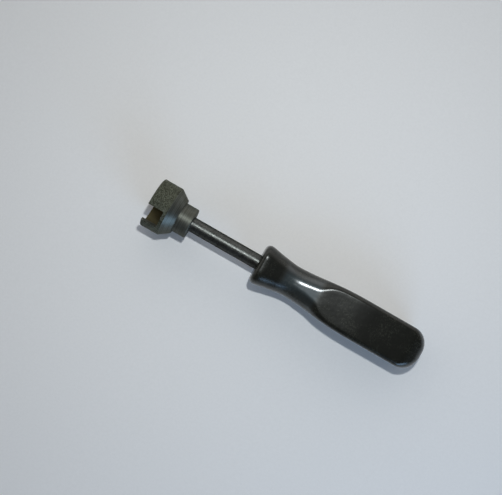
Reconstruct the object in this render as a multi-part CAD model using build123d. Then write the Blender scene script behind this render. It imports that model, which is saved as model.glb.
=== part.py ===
from build123d import *
import math
import os

# Brake spring washer tool, in millimetres.
# The tool's axis is +X, from the cup's mouth to the butt of the handle. +Z is up, and the
# handle's flats face up and down. The origin is the centre of the cup's mouth.

# Driving dimensions of the head, along the axis from the mouth of the cup
CUP_RADIUS = 13.65
CUP_LENGTH = 10.5
CUP_SHOULDER_ROUND = 1.5
CONE_END = 15.8
CONE_END_RADIUS = 9.9
COLLAR_RADIUS = 8.3
HEAD_LENGTH = 23.3
RIM_BREAK = 0.3
COLLAR_BREAK = 0.4

# Stepped recess: a 7/8 inch washer fits the large step, a 5/8 inch washer the small one
LARGE_STEP_RADIUS = 11.5
LARGE_STEP_DEPTH = 9.6
SMALL_STEP_RADIUS = 8.3
SMALL_STEP_DEPTH = 12.0
PIN_HOLE_RADIUS = 4.5
PIN_HOLE_DEPTH = 15.4

# Cross slot, milled through both walls of the cup, turned about the axis from straight up
SLOT_WIDTH = 10.0
SLOT_DEPTH = 8.9
SLOT_CORNER_RADIUS = 0.8
SLOT_TURN = 28.5

# Rod, with a spigot that is pressed and peened into the head
ROD_RADIUS = 4.0
SPIGOT_RADIUS = 3.5
SHOULDER_AT = 20.4
PEEN_RADIUS = 4.2
PEEN_LENGTH = 0.9
KNURL_START = 16.8
KNURL_END = 19.8
KNURL_TEETH = 24
KNURL_HEIGHT = 0.25

# Tang, with two pairs of wings pinched out of the rod
TANG_END = 120.0
TANG_POINT = 1.5
WINGS_AT = (94.0, 108.0)
WING_LENGTH = 8.0
WING_SPAN = 11.2
WING_THICKNESS = 2.4
DENT_DEPTH = 1.3

# Handle, a rounded rectangle across the axis, square at the front and along the grip
HANDLE_FRONT = 63.3
HANDLE_END = 160.8
FRONT_ROUND = 2.5
BUTT_INSET = 9.0
BUTT_LENGTH = 10.5
BUTT_EDGE_SHARE = 0.72
MOUTH_CHAMFER = 0.6
FRONT_STEPS = 4
BUTT_STEPS = 5
# Each station is a place along the axis, half the width, half the height, and the edge radius
FRONT_STATION = (65.8, 11.0, 11.0, 7.2)
WAIST_STATIONS = (
    (69.0, 10.55, 10.55, 7.2),
    (73.0, 9.85, 9.75, 7.25),
    (76.0, 9.4, 9.22, 7.4),
    (79.0, 8.98, 8.77, 7.55),
    (82.0, 8.68, 8.42, 7.7),
    (85.0, 8.62, 8.3, 7.85),
    (88.5, 8.8, 8.5, 7.9),
    (92.0, 9.04, 8.86, 7.65),
    (95.0, 9.31, 9.23, 7.4),
    (97.5, 9.58, 9.55, 7.15),
    (99.5, 9.81, 9.76, 6.1),
    (101.5, 10.04, 9.9, 4.75),
    (104.0, 10.31, 10.03, 3.6),
    (107.5, 10.65, 10.2, 2.9),
    (112.0, 10.95, 10.46, 2.7),
    (117.0, 11.13, 10.8, 2.7),
    (122.0, 11.19, 11.07, 2.7),
)
GRIP_STATION = (128.0, 11.2, 11.2, 2.7)


def disc(start, end, radius):
    """A round bar along the axis from start to end."""
    return Plane.YZ.offset(start) * extrude(Circle(radius), end - start)


def cup_blank():
    """The turned outside: cup, rounded corner, cone, step down to the collar."""
    outline = Polyline(
        (0, 0),
        (0, CUP_RADIUS),
        (CUP_LENGTH, CUP_RADIUS),
        (CONE_END, CONE_END_RADIUS),
        (CONE_END, COLLAR_RADIUS),
        (HEAD_LENGTH, COLLAR_RADIUS),
        (HEAD_LENGTH, 0),
        close=True,
    )
    blank = revolve(make_face(outline), axis=Axis.X)
    cup_corner = blank.edges().filter_by_position(Axis.X, CUP_LENGTH - 0.1, CUP_LENGTH + 0.1)
    blank = fillet(cup_corner.filter_by(GeomType.CIRCLE), CUP_SHOULDER_ROUND)
    rim = blank.edges().filter_by(GeomType.CIRCLE).sort_by(Axis.X)
    return chamfer(rim[0], RIM_BREAK)


def stepped_recess():
    """What is bored out of the cup: the large step, the small step and the hole for the pin."""
    large = disc(0, LARGE_STEP_DEPTH, LARGE_STEP_RADIUS)
    small = disc(0, SMALL_STEP_DEPTH, SMALL_STEP_RADIUS)
    return large + small + disc(0, PIN_HOLE_DEPTH, PIN_HOLE_RADIUS)


def cross_slot():
    """The milled channel across the cup, with small radii in the corners of its floor."""
    channel = Pos(SLOT_DEPTH / 2, 0, 0) * Box(SLOT_DEPTH, SLOT_WIDTH, 3 * CUP_RADIUS)
    floor_corners = channel.edges().filter_by(Axis.Z).group_by(Axis.X)[-1]
    return Rot(SLOT_TURN, 0, 0) * fillet(floor_corners, SLOT_CORNER_RADIUS)


def head(rod):
    """Cup, cone and collar in one piece, closed tightly round the rod's spigot."""
    body = cup_blank() - stepped_recess() - cross_slot()
    collar_edge = body.edges().filter_by(GeomType.CIRCLE).sort_by(Axis.X)[-1]
    return chamfer(collar_edge, COLLAR_BREAK) - rod


def knurl():
    """A ring of straight teeth round the spigot."""
    tooth_base = SPIGOT_RADIUS * math.sin(math.pi / KNURL_TEETH)
    tooth = make_face(
        Polyline(
            (SPIGOT_RADIUS - KNURL_HEIGHT, -tooth_base),
            (SPIGOT_RADIUS + KNURL_HEIGHT, 0),
            (SPIGOT_RADIUS - KNURL_HEIGHT, tooth_base),
            close=True,
        )
    )
    teeth = PolarLocations(0, KNURL_TEETH) * tooth
    return Plane.YZ.offset(KNURL_START) * extrude(Sketch() + teeth, KNURL_END - KNURL_START)


def spigot():
    """The turned front of the rod: peened end, flush in its countersink, and the pressed length."""
    outline = Polyline(
        (PIN_HOLE_DEPTH, 0),
        (PIN_HOLE_DEPTH, PEEN_RADIUS),
        (PIN_HOLE_DEPTH + PEEN_LENGTH, SPIGOT_RADIUS),
        (SHOULDER_AT, SPIGOT_RADIUS),
        (SHOULDER_AT, 0),
        close=True,
    )
    return revolve(make_face(outline), axis=Axis.X) + knurl()


def wing_pair(start):
    """A pair of wings, as wide as the span at their middle, with sloped ends."""
    slope = (WING_SPAN - 2 * ROD_RADIUS) / 2
    outline = Polyline(
        (start, 0),
        (start + slope, WING_SPAN / 2),
        (start + WING_LENGTH - slope, WING_SPAN / 2),
        (start + WING_LENGTH, 0),
        (start + WING_LENGTH - slope, -WING_SPAN / 2),
        (start + slope, -WING_SPAN / 2),
        close=True,
    )
    return extrude(make_face(outline), WING_THICKNESS / 2, both=True)


def pinch(start, side):
    """The dent that the pinching leaves above or below a pair of wings."""
    floor = ROD_RADIUS - DENT_DEPTH
    outline = Polyline(
        (start, ROD_RADIUS + 1),
        (start, ROD_RADIUS),
        (start + DENT_DEPTH, floor),
        (start + WING_LENGTH - DENT_DEPTH, floor),
        (start + WING_LENGTH, ROD_RADIUS),
        (start + WING_LENGTH, ROD_RADIUS + 1),
        close=True,
    )
    wedge = Plane.XZ * extrude(make_face(outline), ROD_RADIUS, both=True)
    return wedge if side > 0 else Rot(180, 0, 0) * wedge


def shaft():
    """The rod from its peened end in the cup to the tip of the tang in the handle."""
    rod = disc(SHOULDER_AT, TANG_END, ROD_RADIUS)
    rod = chamfer(rod.edges().filter_by(GeomType.CIRCLE).sort_by(Axis.X)[-1], TANG_POINT)
    rod = rod + spigot()
    for start in WINGS_AT:
        rod = rod - pinch(start, 1) - pinch(start, -1) + wing_pair(start)
    return rod


def slice_at(place, half_width, half_height, edge_radius):
    """A rounded rectangle across the axis."""
    across = Plane(origin=(place, 0, 0), x_dir=(0, 1, 0), z_dir=(1, 0, 0))
    return across * RectangleRounded(2 * half_width, 2 * half_height, edge_radius)


def front_slices():
    """Slices of the handle's rounded front edge, a quarter circle along the axis."""
    end, half_width, half_height, edge_radius = FRONT_STATION
    for step in range(FRONT_STEPS + 1):
        turn = math.pi / 2 * step / FRONT_STEPS
        inset = FRONT_ROUND * (1 - math.sin(turn))
        place = end - FRONT_ROUND * math.cos(turn)
        yield slice_at(place, half_width - inset, half_height - inset, edge_radius - inset)


def butt_slices():
    """Slices of the domed end, a quarter ellipse along the axis and square across it."""
    grip_half_width = GRIP_STATION[1]
    grip_share = GRIP_STATION[3] / grip_half_width
    for step in range(BUTT_STEPS + 1):
        turn = math.pi / 2 * step / BUTT_STEPS
        half_width = grip_half_width - BUTT_INSET * (1 - math.cos(turn))
        share = grip_share + (BUTT_EDGE_SHARE - grip_share) * math.sin(turn)
        place = HANDLE_END - BUTT_LENGTH * (1 - math.sin(turn))
        yield slice_at(place, half_width, half_width, share * half_width)


def handle(rod):
    """Flared front, waist, square grip and domed end, moulded round the rod's tang."""
    front = loft(list(front_slices()))
    waist = loft([slice_at(*station) for station in (FRONT_STATION, *WAIST_STATIONS, GRIP_STATION)])
    grip = extrude(slice_at(*GRIP_STATION), HANDLE_END - BUTT_LENGTH - GRIP_STATION[0])
    butt = loft(list(butt_slices()))
    from_front = (Align.CENTER, Align.CENTER, Align.MIN)
    mouth = Cone(ROD_RADIUS + MOUTH_CHAMFER, ROD_RADIUS, MOUTH_CHAMFER, align=from_front)
    return front + waist + grip + butt - rod - Plane.YZ.offset(HANDLE_FRONT) * mouth


def main():
    os.makedirs("parts", exist_ok=True)
    rod = shaft()
    nodes = {"head": head(rod), "shaft": rod, "handle": handle(rod)}
    for name, solid in nodes.items():
        export_step(solid, f"parts/{name}.step")
        print(name, "volume", round(solid.volume, 1), "solids", len(solid.solids()))


main()
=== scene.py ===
# %% [markdown]
# # A brake spring washer tool, dressed in Blender
# The tool turns the dished washers on the hold-down springs of drum brakes. It is three pieces:
# a slotted steel cup with a collar, a round rod, and a moulded handle. Their solids come from
# another program as a fixed frame, in metres: +X runs from the mouth of the cup to the butt of
# the handle, and the handle's flats face up and down. This notebook gives those pieces their
# finished surfaces, light and camera. The box of the solids is kept, so that the dressed tool can
# be measured against it at the end.

# %% Load the fixed frame
import math

import bpy
import numpy as np
from mathutils import Matrix, Vector


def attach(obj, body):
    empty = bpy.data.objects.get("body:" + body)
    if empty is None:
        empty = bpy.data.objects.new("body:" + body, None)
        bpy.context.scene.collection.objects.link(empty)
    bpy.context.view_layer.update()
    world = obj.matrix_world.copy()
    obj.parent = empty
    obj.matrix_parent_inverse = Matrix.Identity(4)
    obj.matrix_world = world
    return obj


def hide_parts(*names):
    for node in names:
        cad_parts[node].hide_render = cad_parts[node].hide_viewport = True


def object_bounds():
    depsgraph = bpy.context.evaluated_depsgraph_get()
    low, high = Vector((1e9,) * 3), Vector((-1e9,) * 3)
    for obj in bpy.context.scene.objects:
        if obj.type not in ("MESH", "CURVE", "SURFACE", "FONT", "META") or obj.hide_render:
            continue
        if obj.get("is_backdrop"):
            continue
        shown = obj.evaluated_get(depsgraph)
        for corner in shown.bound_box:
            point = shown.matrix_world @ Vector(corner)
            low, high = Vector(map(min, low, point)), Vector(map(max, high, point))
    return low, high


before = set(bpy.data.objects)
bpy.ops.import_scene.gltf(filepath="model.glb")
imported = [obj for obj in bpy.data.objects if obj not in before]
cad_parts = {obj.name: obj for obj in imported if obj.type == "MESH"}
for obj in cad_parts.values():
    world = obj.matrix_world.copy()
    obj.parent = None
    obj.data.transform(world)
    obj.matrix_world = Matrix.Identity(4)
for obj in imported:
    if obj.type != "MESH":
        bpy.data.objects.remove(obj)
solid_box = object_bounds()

MM = 0.001
print("solids", sorted(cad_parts), "box in mm", [round(v / MM, 1) for v in solid_box[1]])

# %% [markdown]
# ## Helpers
# A turned or moulded piece is a grid of points: each row is one ring round the axis, and each
# column runs along the piece. The grid could be made with operators such as Spin, but an array of
# points is exact, quick, and easy to bend afterwards. All the sizes below are in millimetres, and
# only this helper turns them into metres.

# %% Grid and mesh helpers
def ring_faces(rows, columns):
    """Four-cornered faces between each ring and the next, closed round the axis.

    The corner numbers are row * columns + column, with the last column joined to the first.
    """
    row = np.arange(rows - 1)[:, None] * columns
    column = np.arange(columns)[None, :]
    following = (column + 1) % columns
    corners = (row + column, row + following, row + columns + following, row + columns + column)
    return np.stack(corners, axis=-1).reshape(-1, 4)


def make_piece(name, points, faces, stands_for):
    """A smooth-shaded mesh object from points in mm, which rides on the one body of the tool."""
    mesh = bpy.data.meshes.new(name)
    mesh.from_pydata((points * MM).tolist(), [], faces)
    mesh.validate()
    mesh.shade_smooth()
    piece = bpy.data.objects.new(name, mesh)
    bpy.context.collection.objects.link(piece)
    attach(piece, "root")
    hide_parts(stands_for)
    size = points.max(axis=0) - points.min(axis=0)
    print(name, "faces", len(mesh.polygons), "size in mm", np.round(size, 2))
    return piece


def round_edges(piece, width, segments):
    """Rolls the sharp edges over by that width in mm, as tumbling or a buffing wheel does."""
    bevel = piece.modifiers.new("rolled edges", "BEVEL")
    bevel.limit_method = "ANGLE"
    bevel.angle_limit = math.radians(28)
    bevel.width = width * MM
    bevel.segments = segments
    bevel.harden_normals = True


# %% [markdown]
# ## Floor
# The tool rests on the edge of its cup and on the lower flat of its handle. The cup is the wider of
# the two, so the floor slopes by a degree in the tool's own frame. It is a plain pale sheet.

# %% Floor under the cup and the handle
CUP_RESTS_AT = (9.2, -13.65)
HANDLE_RESTS_AT = (150.3, -11.2)
FLOOR_HALF = 1500
FLOOR_SLOPE = (HANDLE_RESTS_AT[1] - CUP_RESTS_AT[1]) / (HANDLE_RESTS_AT[0] - CUP_RESTS_AT[0])

corner_signs = np.array([(-1, -1), (1, -1), (1, 1), (-1, 1)])
floor_points = np.zeros((4, 3))
floor_points[:, :2] = corner_signs * FLOOR_HALF
floor_points[:, 2] = CUP_RESTS_AT[1] + FLOOR_SLOPE * (floor_points[:, 0] - CUP_RESTS_AT[0])
floor_mesh = bpy.data.meshes.new("floor")
floor_mesh.from_pydata((floor_points * MM).tolist(), [], [(0, 1, 2, 3)])
floor = bpy.data.objects.new("floor", floor_mesh)
bpy.context.collection.objects.link(floor)
floor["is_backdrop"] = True
print("floor slope in degrees", round(math.degrees(math.atan(FLOOR_SLOPE)), 2))

# %% [markdown]
# ## Camera
# The picture was taken from straight above the floor, with the tool turned about 30 degrees
# clockwise from level. A camera that looks square at the floor and is rolled about its own line of
# sight gives the same view. Its distance sets how many millimetres one pixel covers, and the focal
# length how strongly the raised parts lean outwards.

# %% Camera square to the floor, rolled
PICTURE_WIDTH = 502
FOCAL_PIXELS = 735
SENSOR_MM = 36
MM_PER_PIXEL = 0.5235
PICTURE_MIDDLE = (56.2, 4.8, 0)
CAMERA_ROLL = 29.86

camera_data = bpy.data.cameras.new("camera")
camera_data.sensor_width = SENSOR_MM
camera_data.lens = FOCAL_PIXELS * SENSOR_MM / PICTURE_WIDTH
camera_data.clip_start = 0.01
camera_data.clip_end = 20
camera = bpy.data.objects.new("camera", camera_data)
camera_distance = FOCAL_PIXELS * MM_PER_PIXEL
lean = Matrix.Rotation(-math.atan(FLOOR_SLOPE), 3, "Y")
line_of_sight = lean @ Vector((0, 0, camera_distance))
camera.location = (Vector(PICTURE_MIDDLE) + line_of_sight) * MM
camera.rotation_euler = (lean @ Matrix.Rotation(math.radians(CAMERA_ROLL), 3, "Z")).to_euler()
bpy.context.collection.objects.link(camera)
bpy.context.scene.camera = camera
print("camera at", [round(v / MM, 1) for v in camera.location], "lens", round(camera_data.lens, 2))

# %% [markdown]
# ## Light
# Three things light the tool: a small lamp close to the camera, which draws the narrow streaks
# along the rod and the neck of the handle and drops a short crisp shadow, a large low window beyond
# the foot of the picture, which is blue and shows in the surfaces that lean towards it, and the grey
# of the room, dark overhead, pale towards the top of the picture and dark at its foot. A black
# glossy handle is drawn almost wholly by what it mirrors, so the size and place of each lamp matter
# more than its power. Places, sizes and colours were found by comparing trial renders with the
# picture, together with the finishes below.

# %% Lamps and room
LAMP_AT = (45, 91, 385)
LAMP_SIZE = (15, 15)
LAMP_POWER = 0.72
LAMP_COLOUR = (0.91, 0.97, 1.0)
WINDOW_DIRECTION = -38
WINDOW_DISTANCE = 600
WINDOW_MIDDLE_HEIGHT = 215
WINDOW_SIZE = (430, 330)
WINDOW_POWER = 1.65
WINDOW_COLOUR = (0.42, 0.66, 1.0)
ROOM_OVERHEAD = 0.07
ROOM_PALE_SIDE = 1.0
ROOM_DARK_SIDE = 0.10
PALE_SIDE_TOWARDS = (-0.6, 0.8, 0)
AIM = (70, 0, 0)


def area_lamp(name, place, size, power, colour):
    """A rectangular lamp at a place in mm, turned to face the middle of the tool."""
    lamp = bpy.data.lights.new(name, "AREA")
    lamp.shape = "RECTANGLE"
    lamp.size = size[0] * MM
    lamp.size_y = size[1] * MM
    lamp.energy = power
    lamp.color = colour
    holder = bpy.data.objects.new(name, lamp)
    place = np.array(place, dtype=float)
    holder.location = place * MM
    towards = Vector(np.array(AIM) - place)
    holder.rotation_euler = towards.to_track_quat("-Z", "Y").to_euler()
    holder.visible_camera = False
    bpy.context.collection.objects.link(holder)


window_turn = math.radians(WINDOW_DIRECTION)
window_place = (
    AIM[0] + WINDOW_DISTANCE * math.cos(window_turn),
    AIM[1] + WINDOW_DISTANCE * math.sin(window_turn),
    WINDOW_MIDDLE_HEIGHT,
)
area_lamp("near lamp", LAMP_AT, LAMP_SIZE, LAMP_POWER, LAMP_COLOUR)
area_lamp("low window", window_place, WINDOW_SIZE, WINDOW_POWER, WINDOW_COLOUR)
bpy.context.scene.view_settings.view_transform = "Standard"

# %% [markdown]
# ## Node helpers
# A material is a small graph. One helper adds a node and fills its sockets, either with a value
# or with a link. Patterns read Object coordinates in millimetres, so a scale of 2 means two
# features per millimetre on every piece.

# %% Node helpers
def add(tree, kind, sockets, **settings):
    """A node of that kind: settings are its own options, sockets are values or links by name."""
    node = tree.nodes.new(kind)
    for name, value in settings.items():
        setattr(node, name, value)
    for name, value in sockets.items():
        if isinstance(value, bpy.types.NodeSocket):
            tree.links.new(value, node.inputs[name])
        else:
            node.inputs[name].default_value = value
    return node


def math_node(tree, operation, *values):
    """The result of one arithmetic step on values or sockets."""
    sockets = dict(enumerate(values))
    return add(tree, "ShaderNodeMath", sockets, operation=operation).outputs[0]


def place_in_mm(tree):
    """Object coordinates, turned from metres into millimetres."""
    here = tree.nodes.new("ShaderNodeTexCoord").outputs["Object"]
    return add(tree, "ShaderNodeVectorMath", {0: here, 1: (1 / MM,) * 3}, operation="MULTIPLY").outputs[0]


def noise(tree, place, scale, detail=2.0, roughness=0.5):
    """Smooth random values about 0.5, with that many features per unit of place."""
    sockets = {"Vector": place, "Scale": scale, "Detail": detail, "Roughness": roughness}
    return add(tree, "ShaderNodeTexNoise", sockets).outputs["Fac"]


def spread(tree, value, low, high, to_low=0.0, to_high=1.0):
    """value from low to high, carried smoothly to the new range and held at its ends."""
    sockets = {"Value": value, 1: low, 2: high, 3: to_low, 4: to_high}
    settings = {"interpolation_type": "SMOOTHSTEP"}
    return add(tree, "ShaderNodeMapRange", sockets, **settings).outputs["Result"]


def blend_colours(tree, amount, first, second):
    """The first colour where amount is 0, and the second where it is 1."""
    mix = add(tree, "ShaderNodeMix", {0: amount}, data_type="RGBA")
    for socket, colour in ((mix.inputs[6], first), (mix.inputs[7], second)):
        if isinstance(colour, bpy.types.NodeSocket):
            tree.links.new(colour, socket)
        else:
            socket.default_value = (*colour, 1)
    return mix.outputs[2]


def bump(tree, height, depth, normal=None):
    """A normal that follows a height of 0 to 1, whose full depth is in mm."""
    sockets = {"Height": height, "Distance": depth * MM, "Strength": 1.0}
    if normal is not None:
        sockets["Normal"] = normal
    return add(tree, "ShaderNodeBump", sockets).outputs["Normal"]


def new_material(name):
    """An empty material, its node tree and its surface shader."""
    material = bpy.data.materials.new(name)
    material.use_nodes = True
    tree = material.node_tree
    return material, tree, tree.nodes["Principled BSDF"]


# %% [markdown]
# ## Grey room
# The world's own direction tells where a ray goes. Its dot product with the direction of the pale
# side is 1 towards that side and -1 away from it, and one smooth step of that carries the walls from
# the dark side of the room to the pale one. A second step, by height, carries the walls to the
# darker grey overhead, which the flats of the handle mirror.

# %% Paint the room
room = bpy.data.worlds.new("room")
bpy.context.scene.world = room
room.use_nodes = True
tree = room.node_tree
direction = tree.nodes.new("ShaderNodeTexCoord").outputs["Generated"]
facing = {0: direction, 1: PALE_SIDE_TOWARDS}
to_pale_side = add(tree, "ShaderNodeVectorMath", facing, operation="DOT_PRODUCT").outputs["Value"]
walls = spread(tree, to_pale_side, -0.35, 0.85, ROOM_DARK_SIDE, ROOM_PALE_SIDE)
height = add(tree, "ShaderNodeSeparateXYZ", {0: direction}).outputs[2]
overhead = spread(tree, height, 0.35, 0.92)
fall = math_node(tree, "MULTIPLY", overhead, math_node(tree, "SUBTRACT", walls, ROOM_OVERHEAD))
room_grey = math_node(tree, "SUBTRACT", walls, fall)
tree.links.new(room_grey, tree.nodes["Background"].inputs["Color"])

# %% [markdown]
# ## Finish of the floor
# Pale card or paper: a soft white with a faint tooth. It has no gloss, so that only the tool's
# own shadow shows on it.

# %% Paint the floor
paper, tree, shader = new_material("pale paper")
tooth = noise(tree, place_in_mm(tree), 0.8, 3.0)
paper_colour = blend_colours(tree, tooth, (0.85, 0.83, 0.81), (0.91, 0.89, 0.87))
tree.links.new(paper_colour, shader.inputs["Base Color"])
shader.inputs["Roughness"].default_value = 0.9
shader.inputs["Specular IOR Level"].default_value = 0.1
floor_mesh.materials.append(paper)

# %% [markdown]
# ## The cup, as a turned profile
# The head is turned from one bar: a cup with a thin wall, a cone, and a collar that holds the rod.
# Its outline is one closed loop of points, along the outside from the rim to the back of the
# collar and back through the bore and the stepped recess. Two rows that face each other across the
# wall share their place along the axis, which lets the slot be cut without any boolean.

# %% Profile of the head
CUP_RADIUS = 13.65
CUP_BORE_RADIUS = 11.5
CUP_LENGTH = 10.5
CONE_END = 15.8
CONE_END_RADIUS = 9.9
COLLAR_RADIUS = 8.3
HEAD_LENGTH = 23.3
RIM_BREAK = 0.3
COLLAR_BREAK = 0.4
SHOULDER_ROUND = 1.5
LARGE_STEP_DEPTH = 9.6
SMALL_STEP_DEPTH = 12.0
SMALL_STEP_RADIUS = 8.3
PIN_HOLE_RADIUS = 4.5
PIN_HOLE_DEPTH = 15.4
SLOT_DEPTH = 8.9
SLOT_CORNER = 0.8
ROD_RADIUS = 4.0
SPIGOT_RADIUS = 3.5
SPIGOT_SHOULDER = 20.4
PEEN_RADIUS = 4.2
PEEN_LENGTH = 0.9


def divided(start, end, steps):
    """Points from start to end in equal steps, without the first one."""
    share = np.linspace(0, 1, steps + 1)[1:, None]
    return np.array(start) * (1 - share) + np.array(end) * share


def wall_places():
    """Places that the wall's inside and outside share, from the rim to the slot's floor.

    Near the floor they follow a quarter circle: the corner's radius times the sine of the turn.
    """
    straight_end = SLOT_DEPTH - SLOT_CORNER
    turn = np.linspace(0, math.pi / 2, 6)
    straight = np.linspace(RIM_BREAK, straight_end, 9)[:-1]
    return np.concatenate([straight, straight_end + SLOT_CORNER * np.sin(turn)])


def shoulder_points(steps=5):
    """The rounded corner between cup and cone: a circle that touches both lines."""
    lean = math.atan2(CUP_RADIUS - CONE_END_RADIUS, CONE_END - CUP_LENGTH)
    start = CUP_LENGTH - SHOULDER_ROUND * math.tan(lean / 2)
    turn = np.linspace(0, lean, steps + 1)
    along = start + SHOULDER_ROUND * np.sin(turn)
    return np.stack([along, CUP_RADIUS - SHOULDER_ROUND * (1 - np.cos(turn))], axis=1)


def head_profile():
    """Rows of (place, radius) for the outside and then the inside, and the length of the outside."""
    wall = wall_places()
    outside = [[(0, CUP_RADIUS - RIM_BREAK)], np.stack([wall, np.full_like(wall, CUP_RADIUS)], axis=1)]
    outside.append(shoulder_points())
    outside.append(divided(outside[-1][-1], (CONE_END, CONE_END_RADIUS), 5))
    corners = [
        ((CONE_END, COLLAR_RADIUS), 1),
        ((HEAD_LENGTH - COLLAR_BREAK, COLLAR_RADIUS), 6),
        ((HEAD_LENGTH, COLLAR_RADIUS - COLLAR_BREAK), 1),
        ((HEAD_LENGTH, ROD_RADIUS), 2),
        ((SPIGOT_SHOULDER, ROD_RADIUS), 1),
        ((SPIGOT_SHOULDER, SPIGOT_RADIUS), 1),
        ((PIN_HOLE_DEPTH + PEEN_LENGTH, SPIGOT_RADIUS), 1),
        ((PIN_HOLE_DEPTH, PEEN_RADIUS), 1),
        ((PIN_HOLE_DEPTH, PIN_HOLE_RADIUS), 1),
        ((SMALL_STEP_DEPTH, PIN_HOLE_RADIUS), 2),
        ((SMALL_STEP_DEPTH, SMALL_STEP_RADIUS), 2),
        ((LARGE_STEP_DEPTH, SMALL_STEP_RADIUS), 2),
        ((LARGE_STEP_DEPTH, CUP_BORE_RADIUS), 2),
    ]
    for corner, steps in corners:
        outside.append(divided(outside[-1][-1], corner, steps))
    back = wall[::-1]
    inside = [np.stack([back, np.full_like(back, CUP_BORE_RADIUS)], axis=1), [(0, CUP_BORE_RADIUS)]]
    return np.concatenate(outside + inside), len(wall) + 1


profile, wall_rows = head_profile()
print("profile rows", len(profile), "of which on the wall", wall_rows)

# %% [markdown]
# ## The cross slot
# A milling cutter has gone across the cup and left a channel through both walls, with small radii
# in the corners of its floor. A boolean would cut it, and leave ragged triangles. Here the columns
# of the grid are gathered instead, so that four of them run exactly along the sides of the channel
# at any radius. The faces between those columns are left out, and the two sides and the floor are
# added between points that are already there.

# %% Surface of the head
SLOT_HALF = 5.0
SLOT_TURN = 28.5
WALL_COLUMNS = 44
SLOT_COLUMNS = 14
CUP_EDGE_ROLL = 0.11


def slot_half_width(place):
    """Half the channel's width: constant, and narrowed by a quarter circle down to its floor."""
    past = np.clip(place - (SLOT_DEPTH - SLOT_CORNER), 0, SLOT_CORNER)
    return SLOT_HALF - SLOT_CORNER + np.sqrt(SLOT_CORNER**2 - past**2)


def column_angles(place, radius):
    """The angle of each column from the channel's direction, for each row.

    A side of the channel lies at the arcsine of its half width over the radius. The columns are
    spread evenly between the sides, with few of them over the channel and many on the wall.
    """
    side = np.arcsin(slot_half_width(place) / np.maximum(radius, CUP_BORE_RADIUS))[:, None]
    over = np.linspace(-1, 1, SLOT_COLUMNS + 1)[None, :-1]
    along = np.linspace(0, 1, WALL_COLUMNS + 1)[None, :-1]
    half_round = np.concatenate([side * over, side + (math.pi - 2 * side) * along], axis=1)
    return np.concatenate([half_round, half_round + math.pi], axis=1)


def head_points():
    """Each profile point carried round the axis: y is minus radius times sine, z is radius times cosine."""
    place, radius = profile.T
    angle = column_angles(place, radius) + math.radians(SLOT_TURN)
    across = radius[:, None] * -np.sin(angle)
    up = radius[:, None] * np.cos(angle)
    along = np.broadcast_to(place[:, None], angle.shape)
    return np.stack([along, across, up], axis=-1)


def head_faces(rows, columns):
    """The closed skin without the two windows, and then the channel's sides and floor."""
    grid = ring_faces(rows + 1, columns) % (rows * columns)
    row = grid[:, 0] // columns
    column = grid[:, 0] % columns
    in_slot = column % (columns // 2) < SLOT_COLUMNS
    opposite = rows - 1 - np.arange(wall_rows)
    on_wall = (row < wall_rows - 1) | (row >= opposite[-1])
    skin = grid[~(in_slot & on_wall)]
    faces = [skin]
    outer = np.arange(wall_rows)[:-1]
    for half in (0, columns // 2):
        for edge, outwards in ((half, True), (half + SLOT_COLUMNS, False)):
            side = np.stack(
                [
                    outer * columns + edge,
                    (outer + 1) * columns + edge,
                    opposite[1:] * columns + edge,
                    opposite[:-1] * columns + edge,
                ],
                axis=1,
            )
            faces.append(side if outwards else side[:, ::-1])
        across = half + np.arange(SLOT_COLUMNS)
        front = (wall_rows - 1) * columns
        back = opposite[-1] * columns
        corners = (front + across, front + across + 1, back + across + 1, back + across)
        faces.append(np.stack(corners, axis=1))
    return np.concatenate(faces)


head_grid = head_points()
head_rows, head_columns = head_grid.shape[:2]
head = make_piece(
    "slotted_cup", head_grid.reshape(-1, 3), head_faces(head_rows, head_columns).tolist(), "head"
)
round_edges(head, CUP_EDGE_ROLL, 2)

# %% [markdown]
# ## The handle, as a lofted skin
# The handle is moulded plastic: a flared front, a waist for the fingers, and a square grip with
# rounded edges and a domed end. Each row of the grid is a rounded rectangle, given by half its
# width, half its height and the radius of its edges. A smooth spline through a few stations gives
# all three along the handle. The widths were read from the picture, and the heights and edge radii
# of the waist were inferred from how it mirrors the lamp. Glossy black shows every kink, and a
# spline has none in its slope or its curvature.

# %% Outline of the handle
HANDLE_FRONT = 63.3
HANDLE_END = 160.8
FRONT_ROUND = 2.5
BUTT_INSET = 9.0
BUTT_LENGTH = 10.5
BUTT_EDGE_SHARE = 0.72
MOUTH_CHAMFER = 0.6
# Each station is a place along the axis, half the width, half the height, and the edge radius
STATIONS = np.array(
    [
        (65.8, 11.0, 11.0, 7.2),
        (69.0, 10.55, 10.55, 7.2),
        (73.0, 9.85, 9.75, 7.25),
        (76.0, 9.4, 9.22, 7.4),
        (79.0, 8.98, 8.77, 7.55),
        (82.0, 8.68, 8.42, 7.7),
        (85.0, 8.62, 8.3, 7.85),
        (88.5, 8.8, 8.5, 7.9),
        (92.0, 9.04, 8.86, 7.65),
        (95.0, 9.31, 9.23, 7.4),
        (97.5, 9.58, 9.55, 7.15),
        (99.5, 9.81, 9.76, 6.1),
        (101.5, 10.04, 9.9, 4.75),
        (104.0, 10.31, 10.03, 3.6),
        (107.5, 10.65, 10.2, 2.9),
        (112.0, 10.95, 10.46, 2.7),
        (117.0, 11.13, 10.8, 2.7),
        (122.0, 11.19, 11.07, 2.7),
        (128.0, 11.2, 11.2, 2.7),
    ]
)


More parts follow.
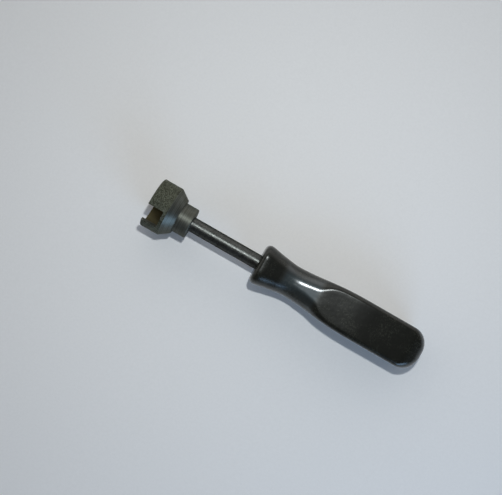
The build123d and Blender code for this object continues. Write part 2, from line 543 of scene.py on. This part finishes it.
def level_ended_spline(knots, values, places):
    """A cubic spline through the values, with slope 0 at both ends.

    The bends at the knots come from one linear system: the slope of the curve has no jump at any
    knot. Between two knots the curve is the straight line plus what the two bends add to it.
    """
    step = np.diff(knots)
    rise = np.diff(values, axis=0) / step[:, None]
    count = len(knots)
    system = np.zeros((count, count))
    inner = np.arange(1, count - 1)
    system[inner, inner - 1] = step[:-1]
    system[inner, inner] = 2 * (step[:-1] + step[1:])
    system[inner, inner + 1] = step[1:]
    system[0, :2] = 2 * step[0], step[0]
    system[-1, -2:] = step[-1], 2 * step[-1]
    level = np.zeros((1, values.shape[1]))
    jump = np.diff(np.concatenate([level, rise, level]), axis=0)
    bend = np.linalg.solve(system, 6 * jump)
    left = np.clip(np.searchsorted(knots, places, side="right") - 1, 0, count - 2)
    width = step[left][:, None]
    after = (places - knots[left])[:, None] / width
    before = 1 - after
    line = before * values[left] + after * values[left + 1]
    return line + width**2 / 6 * ((before**3 - before) * bend[left] + (after**3 - after) * bend[left + 1])


def front_rows(steps=7):
    """The rounded front edge: a quarter circle that takes as much off the edge radius as off the sides."""
    turn = np.linspace(0, math.pi / 2, steps + 1)[:-1]
    inset = FRONT_ROUND * (1 - np.sin(turn))
    sections = STATIONS[0, 1:] - inset[:, None]
    return np.column_stack([STATIONS[0, 0] - FRONT_ROUND * np.cos(turn), sections])


def waist_rows():
    """The spline through the stations, every 0.9 mm."""
    start, end = STATIONS[0, 0], STATIONS[-1, 0]
    places = np.linspace(start, end, round((end - start) / 0.9) + 1)
    return np.column_stack([places, level_ended_spline(STATIONS[:, 0], STATIONS[:, 1:], places)])


def butt_rows(steps=20):
    """The straight grip and its dome: a quarter ellipse, squarer at first and rounder at the end."""
    half_width, edge = STATIONS[-1, [1, 3]]
    turn = np.linspace(0, math.pi / 2, steps + 1)
    width = half_width - BUTT_INSET * (1 - np.cos(turn))
    share = edge / half_width + (BUTT_EDGE_SHARE - edge / half_width) * np.sin(turn)
    place = HANDLE_END - BUTT_LENGTH * (1 - np.sin(turn))
    dome = np.column_stack([place, width, width, share * width])
    return np.concatenate([divided(STATIONS[-1], dome[0], 12)[:-1], dome])


outline = np.concatenate([front_rows(), waist_rows(), butt_rows()])
print("handle rows", len(outline), "narrowest half width", round(outline[10:60, 1].min(), 2))

# %% [markdown]
# ## The skin of the handle, outside and in
# A rounded rectangle is a smaller rectangle, with a circle carried round it: every point is the
# square's point times the half width or half height less the edge radius, plus the circle's point
# times the edge radius. The plastic is moulded round the end of the rod, so the piece also has a
# blind hole in the shape of the tang, with the two pairs of wings that keep it from turning. The
# same columns go on through the mouth and down that hole, to a closed pole.

# %% Surface of the handle
FLAT_COLUMNS = 10
EDGE_COLUMNS = 14
TANG_END = 120.0
TANG_POINT = 1.5
PLAIN_TANG_RING = 80
WINGS_AT = (94.0, 108.0)
WING_LENGTH = 8.0
WING_HALF_SPAN = 5.6
WING_HALF_THICKNESS = 1.2
DENT_DEPTH = 1.3
HANDLE_EDGE_ROLL = 0.12


def square_and_circle():
    """Matching points of a unit square and a unit circle, side by side and corner by corner."""
    slide = np.linspace(-1, 1, FLAT_COLUMNS + 1)[:-1]
    sweep = np.linspace(0, math.pi / 2, EDGE_COLUMNS + 1)[:-1]
    side = np.stack([np.ones(FLAT_COLUMNS), slide], axis=1)
    square = np.concatenate([side, np.ones((EDGE_COLUMNS, 2))])
    angle = np.concatenate([np.zeros(FLAT_COLUMNS), sweep])
    circle = np.stack([np.cos(angle), np.sin(angle)], axis=1)
    quarter_turn = np.array([[0, 1], [-1, 0]])
    turns = [np.linalg.matrix_power(quarter_turn, n) for n in range(4)]
    return np.concatenate([square @ t for t in turns]), np.concatenate([circle @ t for t in turns])


def skin_points(square, circle):
    """The outside: one rounded rectangle for each row of the outline."""
    edge = outline[:, 3, None, None]
    section = (outline[:, None, 1:3] - edge) * square + edge * circle
    place = np.broadcast_to(outline[:, 0, None, None], (*section.shape[:2], 1))
    return np.concatenate([place, section], axis=-1)


def tang_radius(place, angle):
    """How far the tang reaches at each place and angle.

    It is the rod, cut flat by the dents, or a wing where that reaches further: a flat's distance
    over the sine, and the wing's span over the cosine, whichever of its limits comes first.
    """
    sine = np.maximum(np.abs(np.sin(angle)), 1e-6)
    cosine = np.maximum(np.abs(np.cos(angle)), 1e-6)
    reach = np.full(np.broadcast(place, angle).shape, ROD_RADIUS)
    for start in WINGS_AT:
        ramp = np.minimum(place - start, start + WING_LENGTH - place)
        dent = ROD_RADIUS - np.clip(ramp, 0, DENT_DEPTH)
        span = WING_HALF_SPAN * np.clip(ramp / (WING_HALF_SPAN - ROD_RADIUS), 0, 1)
        wing = np.minimum(span / cosine, WING_HALF_THICKNESS / sine)
        reach = np.maximum(np.minimum(reach, dent / sine), wing)
    return reach


def hole_points(angle):
    """The blind hole from its pointed end forwards, then the mouth's chamfer and the front face."""
    slope = WING_HALF_SPAN - ROD_RADIUS
    half_wing = np.array([0, DENT_DEPTH, slope, WING_LENGTH / 2])
    wing = np.unique(np.concatenate([half_wing, WING_LENGTH - half_wing]))
    plain = [HANDLE_FRONT + MOUTH_CHAMFER, PLAIN_TANG_RING, TANG_END - TANG_POINT]
    places = np.unique(np.concatenate([plain, *[start + wing for start in WINGS_AT]]))
    place = places[::-1, None]
    reach = tang_radius(place, angle[None, :])
    point = np.full((1, len(angle)), ROD_RADIUS - TANG_POINT)
    mouth = np.full((1, len(angle)), ROD_RADIUS + MOUTH_CHAMFER)
    radius = np.concatenate([point, reach, mouth])
    along = np.concatenate([[[TANG_END]], place, [[HANDLE_FRONT]]])
    along = np.broadcast_to(along, radius.shape)
    return np.stack([along, radius * np.cos(angle), radius * np.sin(angle)], axis=-1)


def handle_surface():
    """Rows from the pole at the end of the hole to the pole of the butt, and all their faces."""
    square, circle = square_and_circle()
    skin = skin_points(square, circle)
    angle = np.arctan2(skin[0, :, 2], skin[0, :, 1])
    hole = hole_points(angle)
    face_share = np.array([0.35, 0.7])[:, None, None]
    front_face = hole[-1] * (1 - face_share) + skin[0] * face_share
    end_share = np.array([0.75, 0.5, 0.25])[:, None, None]
    end_face = skin[-1] * end_share + np.array([HANDLE_END, 0, 0]) * (1 - end_share)
    rings = np.concatenate([hole, front_face, skin, end_face])
    rows, columns = rings.shape[:2]
    poles = np.array([(TANG_END, 0, 0), (HANDLE_END, 0, 0)])
    points = np.concatenate([rings.reshape(-1, 3), poles])
    this = np.arange(columns)
    following = (this + 1) % columns
    first_pole, last_pole = rows * columns, rows * columns + 1
    start_fan = np.stack([np.full(columns, first_pole), following, this], axis=1)
    last_row = (rows - 1) * columns
    end_fan = np.stack([last_row + this, last_row + following, np.full(columns, last_pole)], axis=1)
    return points, ring_faces(rows, columns).tolist() + start_fan.tolist() + end_fan.tolist()


handle_points, handle_faces = handle_surface()
handle = make_piece("moulded_handle", handle_points, handle_faces, "handle")
round_edges(handle, HANDLE_EDGE_ROLL, 2)

# %% [markdown]
# ## Which way the faces point
# Light and the export both need faces that point outwards. The sign of the enclosed volume tells:
# each face and the origin make a small pyramid, and the pyramids add up to a positive volume when
# the corners run anticlockwise, seen from outside.

# %% Measure the enclosed volumes
def enclosed_volume(piece):
    """The sum of the pyramids from the origin to each triangle, in cubic mm."""
    mesh = piece.data
    mesh.calc_loop_triangles()
    corners = np.zeros(len(mesh.loop_triangles) * 3, dtype=np.int32)
    mesh.loop_triangles.foreach_get("vertices", corners)
    places = np.zeros(len(mesh.vertices) * 3)
    mesh.vertices.foreach_get("co", places)
    a, b, c = places.reshape(-1, 3)[corners.reshape(-1, 3)].transpose(1, 0, 2)
    return float(np.einsum("ij,ij->i", a, np.cross(b, c)).sum() / 6) / MM**3


for piece in (head, handle):
    print(piece.name, "encloses", round(enclosed_volume(piece), 1), "cubic mm")

# %% [markdown]
# ## Blackened steel for the head
# The cup is turned from bar and blackened. Its outside keeps the bar's dull, grainy skin, while the
# cone, the collar and the bores carry the fine rings of the lathe tool. Noise that only knows the
# place along the axis and the distance from it comes out as rings. A mask by radius chooses between
# the two. Handling has rubbed the black off the edges, so raised edges show a little bare steel.
# The skin, the rings and the oily patches also carry a slight olive tint, which is painted in: a
# painted reflection of yellow light bounced up from below.

# %% Paint the head
# The olive tint of these colours is a painted reflection of yellow light from below; their grain, rings and
# patches are the steel's own.
BAR_SKIN_AND_PAINTED_BOUNCE = ((0.041, 0.043, 0.028), (0.175, 0.183, 0.136))
LATHE_RINGS_AND_PAINTED_BOUNCE = ((0.072, 0.073, 0.061), (0.150, 0.154, 0.134))
OILY_PATCH_AND_PAINTED_BOUNCE = (0.045, 0.044, 0.030)
# Painted shade with a painted yellow reflection, for the cup's bore and the stepped recess.
BORE_PAINTED_SHADE = (0.084, 0.072, 0.036)
BARE_STEEL = (0.40, 0.39, 0.36)
TURNED_EDGE_TINT = (0.4, 0.4, 0.36)


def axis_place(tree):
    """Place along the axis and distance from it, in mm, as a vector with no turn in it."""
    here = add(tree, "ShaderNodeSeparateXYZ", {0: place_in_mm(tree)})
    flat = add(tree, "ShaderNodeCombineXYZ", {1: here.outputs[1], 2: here.outputs[2]})
    radius = add(tree, "ShaderNodeVectorMath", {0: flat.outputs[0]}, operation="LENGTH").outputs["Value"]
    rings = add(tree, "ShaderNodeCombineXYZ", {0: here.outputs[0], 1: radius}).outputs[0]
    return here.outputs[0], radius, rings


def worn_edges(tree, place, level):
    """1 on raised edges, broken up by patches of handling, and 0 elsewhere."""
    raised = tree.nodes.new("ShaderNodeNewGeometry").outputs["Pointiness"]
    edge = spread(tree, raised, level, level + 0.06)
    return math_node(tree, "MULTIPLY", edge, spread(tree, noise(tree, place, 0.7, 3.0), 0.42, 0.62))


def blackened_steel():
    """Grainy bar skin on the cup's outside, turned rings elsewhere, bare steel on worn edges."""
    material, tree, shader = new_material("blackened steel")
    here = place_in_mm(tree)
    along, radius, rings = axis_place(tree)
    outside = math_node(tree, "GREATER_THAN", radius, CUP_RADIUS - 0.12)
    in_cup = math_node(tree, "LESS_THAN", radius, CUP_BORE_RADIUS + 0.05)
    before_step = math_node(tree, "LESS_THAN", along, LARGE_STEP_DEPTH + 0.05)
    in_cup = math_node(tree, "MULTIPLY", in_cup, before_step)
    in_steps = math_node(tree, "LESS_THAN", radius, SMALL_STEP_RADIUS + 0.05)
    before_collar = math_node(tree, "LESS_THAN", along, CONE_END - 0.05)
    in_steps = math_node(tree, "MULTIPLY", in_steps, before_collar)
    in_bores = math_node(tree, "MAXIMUM", in_cup, in_steps)
    grain = noise(tree, here, 1.8, 6.0, 0.65)
    patches = noise(tree, here, 0.22, 3.0)
    turned = noise(tree, rings, 3.4, 4.0, 0.6)
    specks = math_node(tree, "MULTIPLY", outside, spread(tree, noise(tree, here, 1.1, 2.0), 0.74, 0.78))
    wear = math_node(tree, "MAXIMUM", worn_edges(tree, here, 0.53), specks)

    # The skin and ring colours carry the painted olive reflection.
    skin = blend_colours(tree, spread(tree, grain, 0.42, 0.60), *BAR_SKIN_AND_PAINTED_BOUNCE)
    lathe = blend_colours(tree, spread(tree, turned, 0.36, 0.66), *LATHE_RINGS_AND_PAINTED_BOUNCE)
    colour = blend_colours(tree, outside, lathe, skin)
    oiled = math_node(tree, "MULTIPLY", spread(tree, patches, 0.4, 0.7), 0.3)
    colour = blend_colours(tree, oiled, colour, OILY_PATCH_AND_PAINTED_BOUNCE)
    # The bores get painted shade: darker and more yellow-brown than the lathe rings.
    colour = blend_colours(tree, in_bores, colour, BORE_PAINTED_SHADE)
    colour = blend_colours(tree, wear, colour, BARE_STEEL)
    tree.links.new(colour, shader.inputs["Base Color"])
    tint = blend_colours(tree, outside, TURNED_EDGE_TINT, (1, 1, 1))
    tree.links.new(tint, shader.inputs["Specular Tint"])

    on_collar = math_node(tree, "GREATER_THAN", along, CONE_END - 0.05)
    shine = spread(tree, turned, 0.3, 0.7, 0.34, 0.42)
    shine = math_node(tree, "ADD", shine, math_node(tree, "MULTIPLY", on_collar, 0.08))
    dull = spread(tree, grain, 0.3, 0.7, 0.70, 0.88)
    duller = math_node(tree, "MULTIPLY", outside, math_node(tree, "SUBTRACT", dull, shine))
    tree.links.new(math_node(tree, "ADD", duller, shine), shader.inputs["Roughness"])
    shader.inputs["Metallic"].default_value = 0.75
    shader.inputs["Specular IOR Level"].default_value = 0.5

    height = math_node(tree, "MULTIPLY", grain, outside)
    normal = bump(tree, height, 0.14)
    ring_height = math_node(tree, "MULTIPLY", turned, math_node(tree, "SUBTRACT", 1.0, outside))
    tree.links.new(bump(tree, ring_height, 0.02, normal), shader.inputs["Normal"])
    return material


head.data.materials.append(blackened_steel())

# %% [markdown]
# ## Glossy black for the rod
# The rod is drawn bar with a thin glossy black coat. Its surface is smooth along the rod, with faint
# drawing lines, cloudy patches, and fine paler specks all over, where the coat is thin. Stretching
# the noise along the axis makes the drawing lines. The dark tint takes light out of what the rod
# mirrors at its grazing rims, and leaves the middle as it is.

# %% Paint the rod
ROD_BLACK = ((0.058, 0.060, 0.056), (0.076, 0.078, 0.073))
ROD_SPECK = (0.180, 0.183, 0.173)
ROD_EDGE_TINT = (0.12, 0.12, 0.10)


def black_rod():
    """A glossy black coat over drawn steel, with lengthwise lines and fine paler specks."""
    material, tree, shader = new_material("black rod")
    here = place_in_mm(tree)
    stretched = add(tree, "ShaderNodeMapping", {"Vector": here, "Scale": (0.05, 1, 1)}).outputs[0]
    lines = noise(tree, stretched, 5.0, 3.0)
    clouds = noise(tree, here, 0.35, 4.0)
    specks = spread(tree, noise(tree, here, 1.7, 5.0, 0.65), 0.40, 0.64)
    colour = blend_colours(tree, spread(tree, clouds, 0.35, 0.7), *ROD_BLACK)
    colour = blend_colours(tree, math_node(tree, "MULTIPLY", specks, 0.60), colour, ROD_SPECK)
    tree.links.new(colour, shader.inputs["Base Color"])
    tree.links.new(spread(tree, clouds, 0.3, 0.7, 0.34, 0.44), shader.inputs["Roughness"])
    shader.inputs["Metallic"].default_value = 1.0
    shader.inputs["Specular Tint"].default_value = (*ROD_EDGE_TINT, 1)
    tree.links.new(bump(tree, lines, 0.01), shader.inputs["Normal"])
    return material


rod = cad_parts["shaft"]
rod.data.materials.clear()
rod.data.materials.append(black_rod())

# %% [markdown]
# ## Glossy black plastic for the handle
# Moulded plastic mirrors its surroundings sharply and also has a wider, weaker haze, because the
# skin is not perfectly flat at a small scale. A shader with a rough base and a clear coat on top
# gives both. Low, slow bumps make the mirrored streaks waver, as sink marks do, and a thin raised
# line along each side is where the two halves of the mould met. A broken film of dust and small
# pale scuffs lie over the whole. The upper and lower faces of the waist are rubbed by fingers: a
# mask by place gives them a stronger, sharper coat over a wider haze.

# %% Paint the handle
WORN_MIDDLE = 88
WORN_LENGTH = 25
# The black's slight olive tint is a painted reflection of yellow light bounced up from below.
PLASTIC_BLACK_AND_PAINTED_BOUNCE = ((0.0052, 0.0054, 0.0038), (0.0075, 0.0078, 0.0055))
DUST_GREY = (0.030, 0.0305, 0.022)
SCUFF_GREY = (0.06, 0.062, 0.054)
SCUFF_TURN = (0, 0, 0.5)
SCUFF_STRETCH = (0.25, 1.6, 1)
PLAIN_TINT = (1.0, 1.0, 0.86)
RUBBED_TINT = (0.60, 0.86, 1.0)


def black_plastic():
    """Black plastic: a sharp coat over a hazy base, a rubbed waist, a mould line, dust and scuffs."""
    material, tree, shader = new_material("black plastic")
    here = place_in_mm(tree)
    clouds = noise(tree, here, 0.10, 3.0)
    slanted = {"Vector": here, "Rotation": SCUFF_TURN, "Scale": SCUFF_STRETCH}
    scuff_place = add(tree, "ShaderNodeMapping", slanted).outputs[0]
    scuffs = spread(tree, noise(tree, scuff_place, 0.9, 5.0, 0.65), 0.66, 0.74)
    dust = spread(tree, noise(tree, here, 0.9, 6.0, 0.75), 0.46, 0.68)
    dust = math_node(tree, "MULTIPLY", dust, spread(tree, clouds, 0.40, 0.60, 0.15, 1.0))
    # The plastic's black carries the painted olive reflection.
    colour = blend_colours(tree, spread(tree, clouds, 0.3, 0.7), *PLASTIC_BLACK_AND_PAINTED_BOUNCE)
    colour = blend_colours(tree, dust, colour, DUST_GREY)
    colour = blend_colours(tree, math_node(tree, "MULTIPLY", scuffs, 0.35), colour, SCUFF_GREY)
    tree.links.new(colour, shader.inputs["Base Color"])

    parts = add(tree, "ShaderNodeSeparateXYZ", {0: here})
    off_waist = math_node(tree, "ABSOLUTE", math_node(tree, "SUBTRACT", parts.outputs[0], WORN_MIDDLE))
    off_axis = math_node(tree, "ABSOLUTE", parts.outputs[2])
    rubbed = spread(tree, off_waist, WORN_LENGTH / 3, WORN_LENGTH / 2, 1.0, 0.0)
    rubbed = math_node(tree, "MULTIPLY", rubbed, spread(tree, off_axis, 5.4, 8.0))
    haze = math_node(tree, "MULTIPLY", rubbed, spread(tree, clouds, 0.3, 0.7, 0.18, 0.30))
    tree.links.new(math_node(tree, "ADD", haze, 0.26), shader.inputs["Roughness"])
    strength = math_node(tree, "ADD", math_node(tree, "MULTIPLY", rubbed, 0.25), 0.15)
    tree.links.new(strength, shader.inputs["Specular IOR Level"])
    tint = blend_colours(tree, rubbed, PLAIN_TINT, RUBBED_TINT)
    tree.links.new(tint, shader.inputs["Specular Tint"])
    polish = math_node(tree, "ADD", math_node(tree, "MULTIPLY", rubbed, 0.58), 0.42)
    tree.links.new(polish, shader.inputs["Coat Weight"])
    dulled = math_node(tree, "MAXIMUM", scuffs, math_node(tree, "MULTIPLY", dust, 0.4))
    gloss = spread(tree, dulled, 0.0, 1.0, 0.27, 0.42)
    gloss = math_node(tree, "SUBTRACT", gloss, math_node(tree, "MULTIPLY", rubbed, 0.045))
    tree.links.new(gloss, shader.inputs["Coat Roughness"])
    shader.inputs["Coat IOR"].default_value = 1.75
    shader.inputs["IOR"].default_value = 1.5

    mould_line = spread(tree, off_axis, 0.05, 0.16, 1.0, 0.0)
    waves = bump(tree, noise(tree, here, 0.12, 2.0), 0.10)
    with_line = bump(tree, mould_line, 0.03, waves)
    tree.links.new(with_line, shader.inputs["Normal"])
    tree.links.new(bump(tree, scuffs, 0.01, with_line), shader.inputs["Coat Normal"])
    return material


handle.data.materials.append(black_plastic())

# %% [markdown]
# ## Measure and finish
# The dressed tool has to stay inside the box of its solids, because other parts are fitted to those.

# %% Sizes of the solids and of the dressed tool
dressed_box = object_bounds()
sizes = {
    "solids": [list(corner) for corner in solid_box],
    "dressed": [list(corner) for corner in dressed_box],
}
for name, box in sizes.items():
    print(name, "from", np.round(np.array(box[0]) / MM, 2), "to", np.round(np.array(box[1]) / MM, 2))
